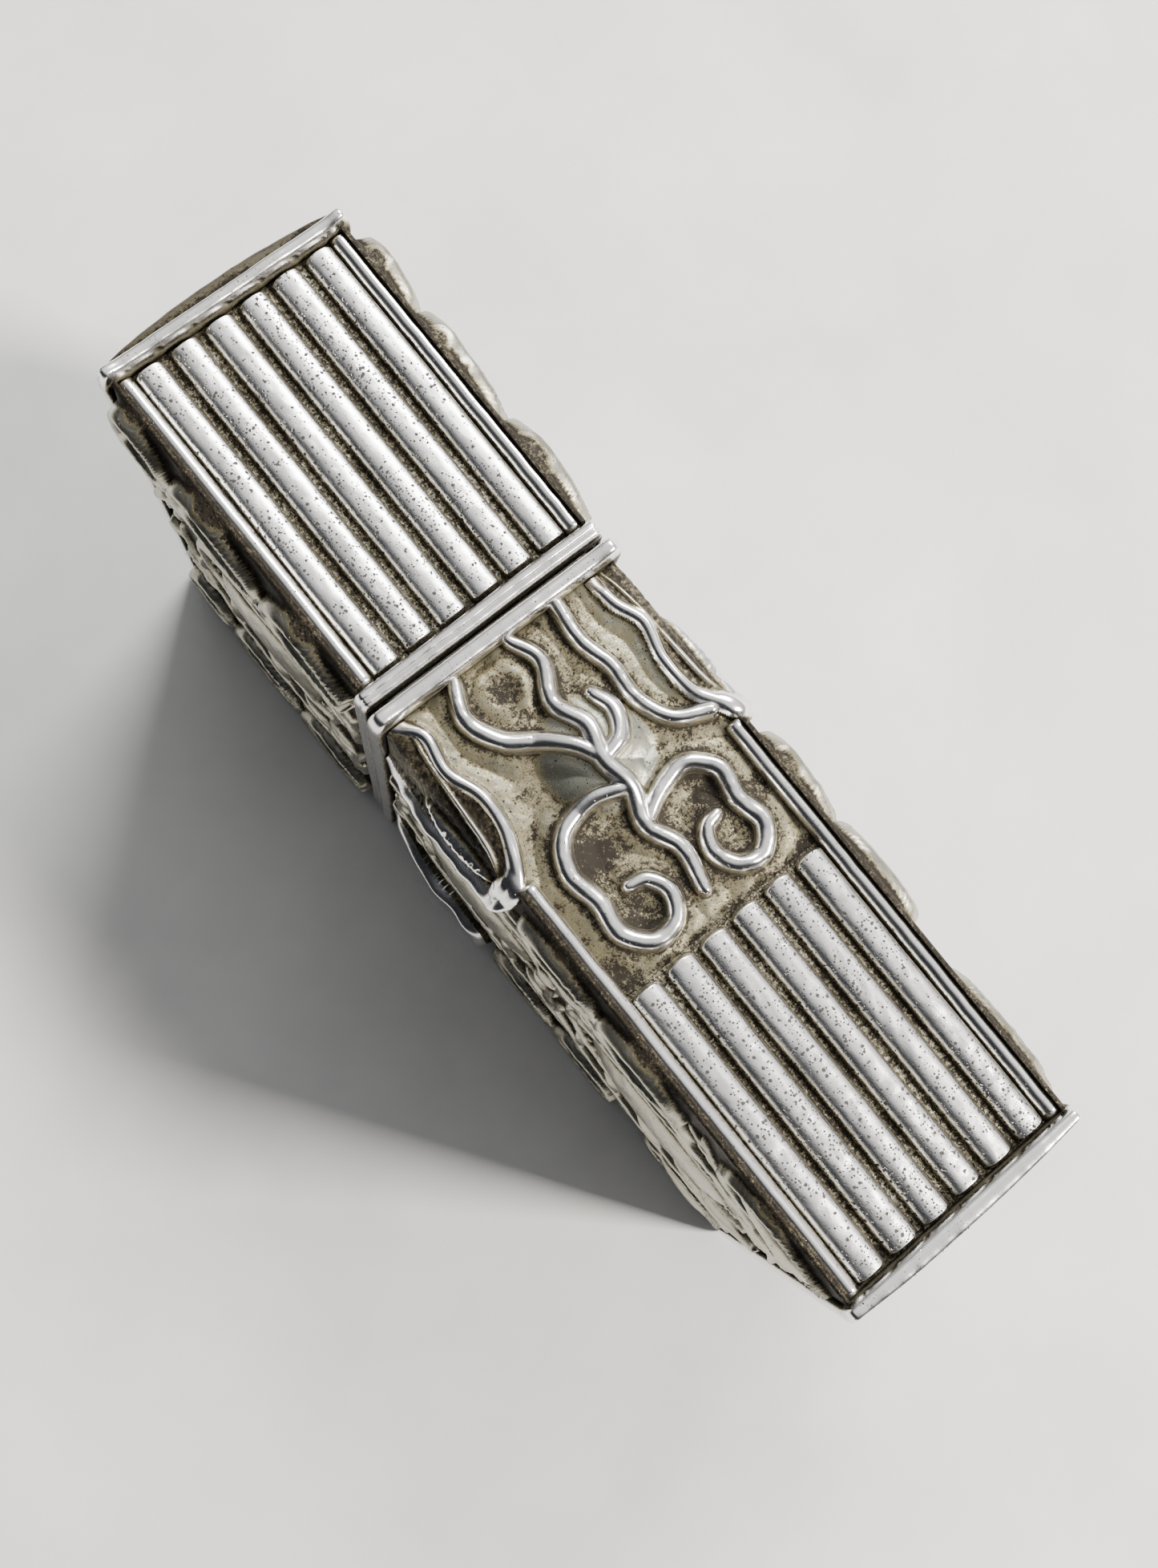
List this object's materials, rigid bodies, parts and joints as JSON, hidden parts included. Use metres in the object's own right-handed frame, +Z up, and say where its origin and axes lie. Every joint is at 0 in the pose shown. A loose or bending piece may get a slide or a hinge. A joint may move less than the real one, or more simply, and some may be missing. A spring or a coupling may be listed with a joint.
{
  "type": "mezuzah case",
  "caption": "Slim rectangular silver case for a rolled parchment, with fluted narrow sides, embossed wide sides, a raised tendril ornament and a pull-off lid on an inner collar.",
  "frame": {"origin": "under the middle of the case, on the plane it rests on when it lies on its back narrow side", "axes": "+X across the narrow front to its right, +Y along the case towards the lid end, +Z up, out of the fluted narrow front"},
  "size_m": [0.022, 0.0816, 0.0444],
  "materials": {
    "silver_polished": "old silver, worn bright on its crests, with fine pits and scratches and dark oxide along its edges",
    "silver_embossed": "embossed silver, bright on the raised bosses and brown-black in the matted ground",
    "silver_oxidised": "recessed silver ground with golden-tan patina and black stains",
    "silver_plain": "plain silver sheet, rubbed by the lid",
    "parchment": "matt cream parchment, blank",
    "linen": "twisted linen thread"
  },
  "bodies": {
    "case": {"body_left_plate": "silver_embossed", "body_right_plate": "silver_embossed", "body_front_flutes": "silver_polished", "body_back_flutes": "silver_polished", "body_end_plate": "silver_polished", "body_end_rim": "silver_polished", "body_mouth_rim": "silver_polished", "inner_collar": "silver_plain", "body_front_left_wire": "silver_polished", "body_front_right_wire": "silver_polished", "body_back_left_wire": "silver_polished", "body_back_right_wire": "silver_polished", "front_panel": "silver_oxidised", "front_vine": "silver_polished", "front_inner_wave": "silver_polished", "front_left_tongue": "silver_polished", "front_right_tongue": "silver_polished", "back_panel": "silver_oxidised", "back_vine": "silver_polished", "back_inner_wave": "silver_polished", "back_left_tongue": "silver_polished", "back_right_tongue": "silver_polished"},
    "lid": {"lid_left_plate": "silver_embossed", "lid_right_plate": "silver_embossed", "lid_front_flutes": "silver_polished", "lid_back_flutes": "silver_polished", "lid_end_plate": "silver_polished", "lid_end_rim": "silver_polished", "lid_mouth_rim": "silver_polished", "lid_front_left_wire": "silver_polished", "lid_front_right_wire": "silver_polished", "lid_back_left_wire": "silver_polished", "lid_back_right_wire": "silver_polished"},
    "scroll": {"parchment_scroll": "parchment", "scroll_thread": "linen"}
  },
  "joints": [
    {"name": "lid_slide", "type": "slide", "parent": "case", "child": "lid", "axis": [0, 1, 0], "range_m": [0, 0.03]},
    {"name": "scroll_slide", "type": "slide", "parent": "case", "child": "scroll", "axis": [0, 1, 0], "range_m": [0, 0.0125]}
  ]
}
